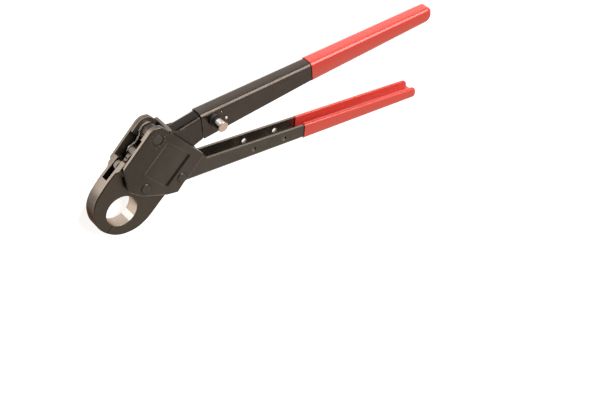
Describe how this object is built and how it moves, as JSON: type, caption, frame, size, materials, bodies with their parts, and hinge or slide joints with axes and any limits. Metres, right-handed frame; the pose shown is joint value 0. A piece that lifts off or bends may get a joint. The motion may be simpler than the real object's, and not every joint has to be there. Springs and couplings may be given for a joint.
{
  "type": "pipe press tool",
  "caption": "Hand crimping tool for pipe rings: hinged jaws with a round bore, toggle head between side plates, and a pair of long handles with dipped red grips.",
  "frame": {"origin": "on the axis of the closed crimp bore, half way through the jaws' thickness", "axes": "+Z along the bore axis, out of the front side plate; +X along the fixed handle; +Y towards the moving handle"},
  "size_m": [0.3549, 0.1341, 0.0338],
  "materials": {
    "black_oxide": "satin black oxide",
    "rivet_steel": "satin black oxide",
    "link_steel": "satin",
    "plunger_black": "satin black",
    "chrome": "polished",
    "red_vinyl": "satin dipped vinyl"
  },
  "bodies": {
    "head": {"front_plate": "black_oxide", "rear_plate": "black_oxide", "fixed_jaw": "black_oxide", "jaw_pivot_rivet": "rivet_steel", "handle_rivet": "rivet_steel", "lever_pivot_pin": "rivet_steel", "stop_bar": "rivet_steel", "fixed_handle": "black_oxide", "fixed_grip": "red_vinyl", "spacer_washers": "rivet_steel"},
    "jaw": {"moving_jaw": "black_oxide", "clevis_pin": "link_steel"},
    "lever_arm": {"lever": "black_oxide", "knuckle_pin": "link_steel"},
    "link": {"toggle_link": "link_steel"},
    "extension": {"outer_handle": "black_oxide", "moving_grip": "red_vinyl", "extension_stop_pin": "link_steel", "guide_pin": "link_steel", "plunger_body": "plunger_black"},
    "plunger": {"plunger_pin": "link_steel", "plunger_knob": "chrome", "plunger_spring": "link_steel"}
  },
  "joints": [
    {"name": "handle_pivot", "type": "hinge", "parent": "head", "child": "lever_arm", "pos_m": [0.03155, 0.06505, 0], "axis": [0, 0, 1], "range_deg": [0, 56]},
    {"name": "jaw_pivot", "type": "hinge", "parent": "head", "child": "jaw", "pos_m": [0.02035, 0.01955, 0], "axis": [0, 0, 1], "range_deg": [-33.2, 0]},
    {"name": "link_pivot", "type": "hinge", "parent": "lever_arm", "child": "link", "pos_m": [0.0173, 0.0502, 0], "axis": [0, 0, 1], "range_deg": [-102.7, 0]},
    {"name": "handle_extension", "type": "slide", "parent": "lever_arm", "child": "extension", "axis": [0.9871, 0.1599, 0], "range_m": [0, 0.03]},
    {"name": "plunger_pull", "type": "slide", "parent": "extension", "child": "plunger", "axis": [0, 0, 1], "range_m": [0, 0.003], "stiffness_N_per_m": 900, "springref_m": -0.002, "deforming": ["plunger_spring"]}
  ],
  "couplings": [
    {"joint": "jaw_pivot", "follows": "handle_pivot", "ratio": -0.5919},
    {"joint": "link_pivot", "follows": "handle_pivot", "ratio": -1.8335}
  ]
}
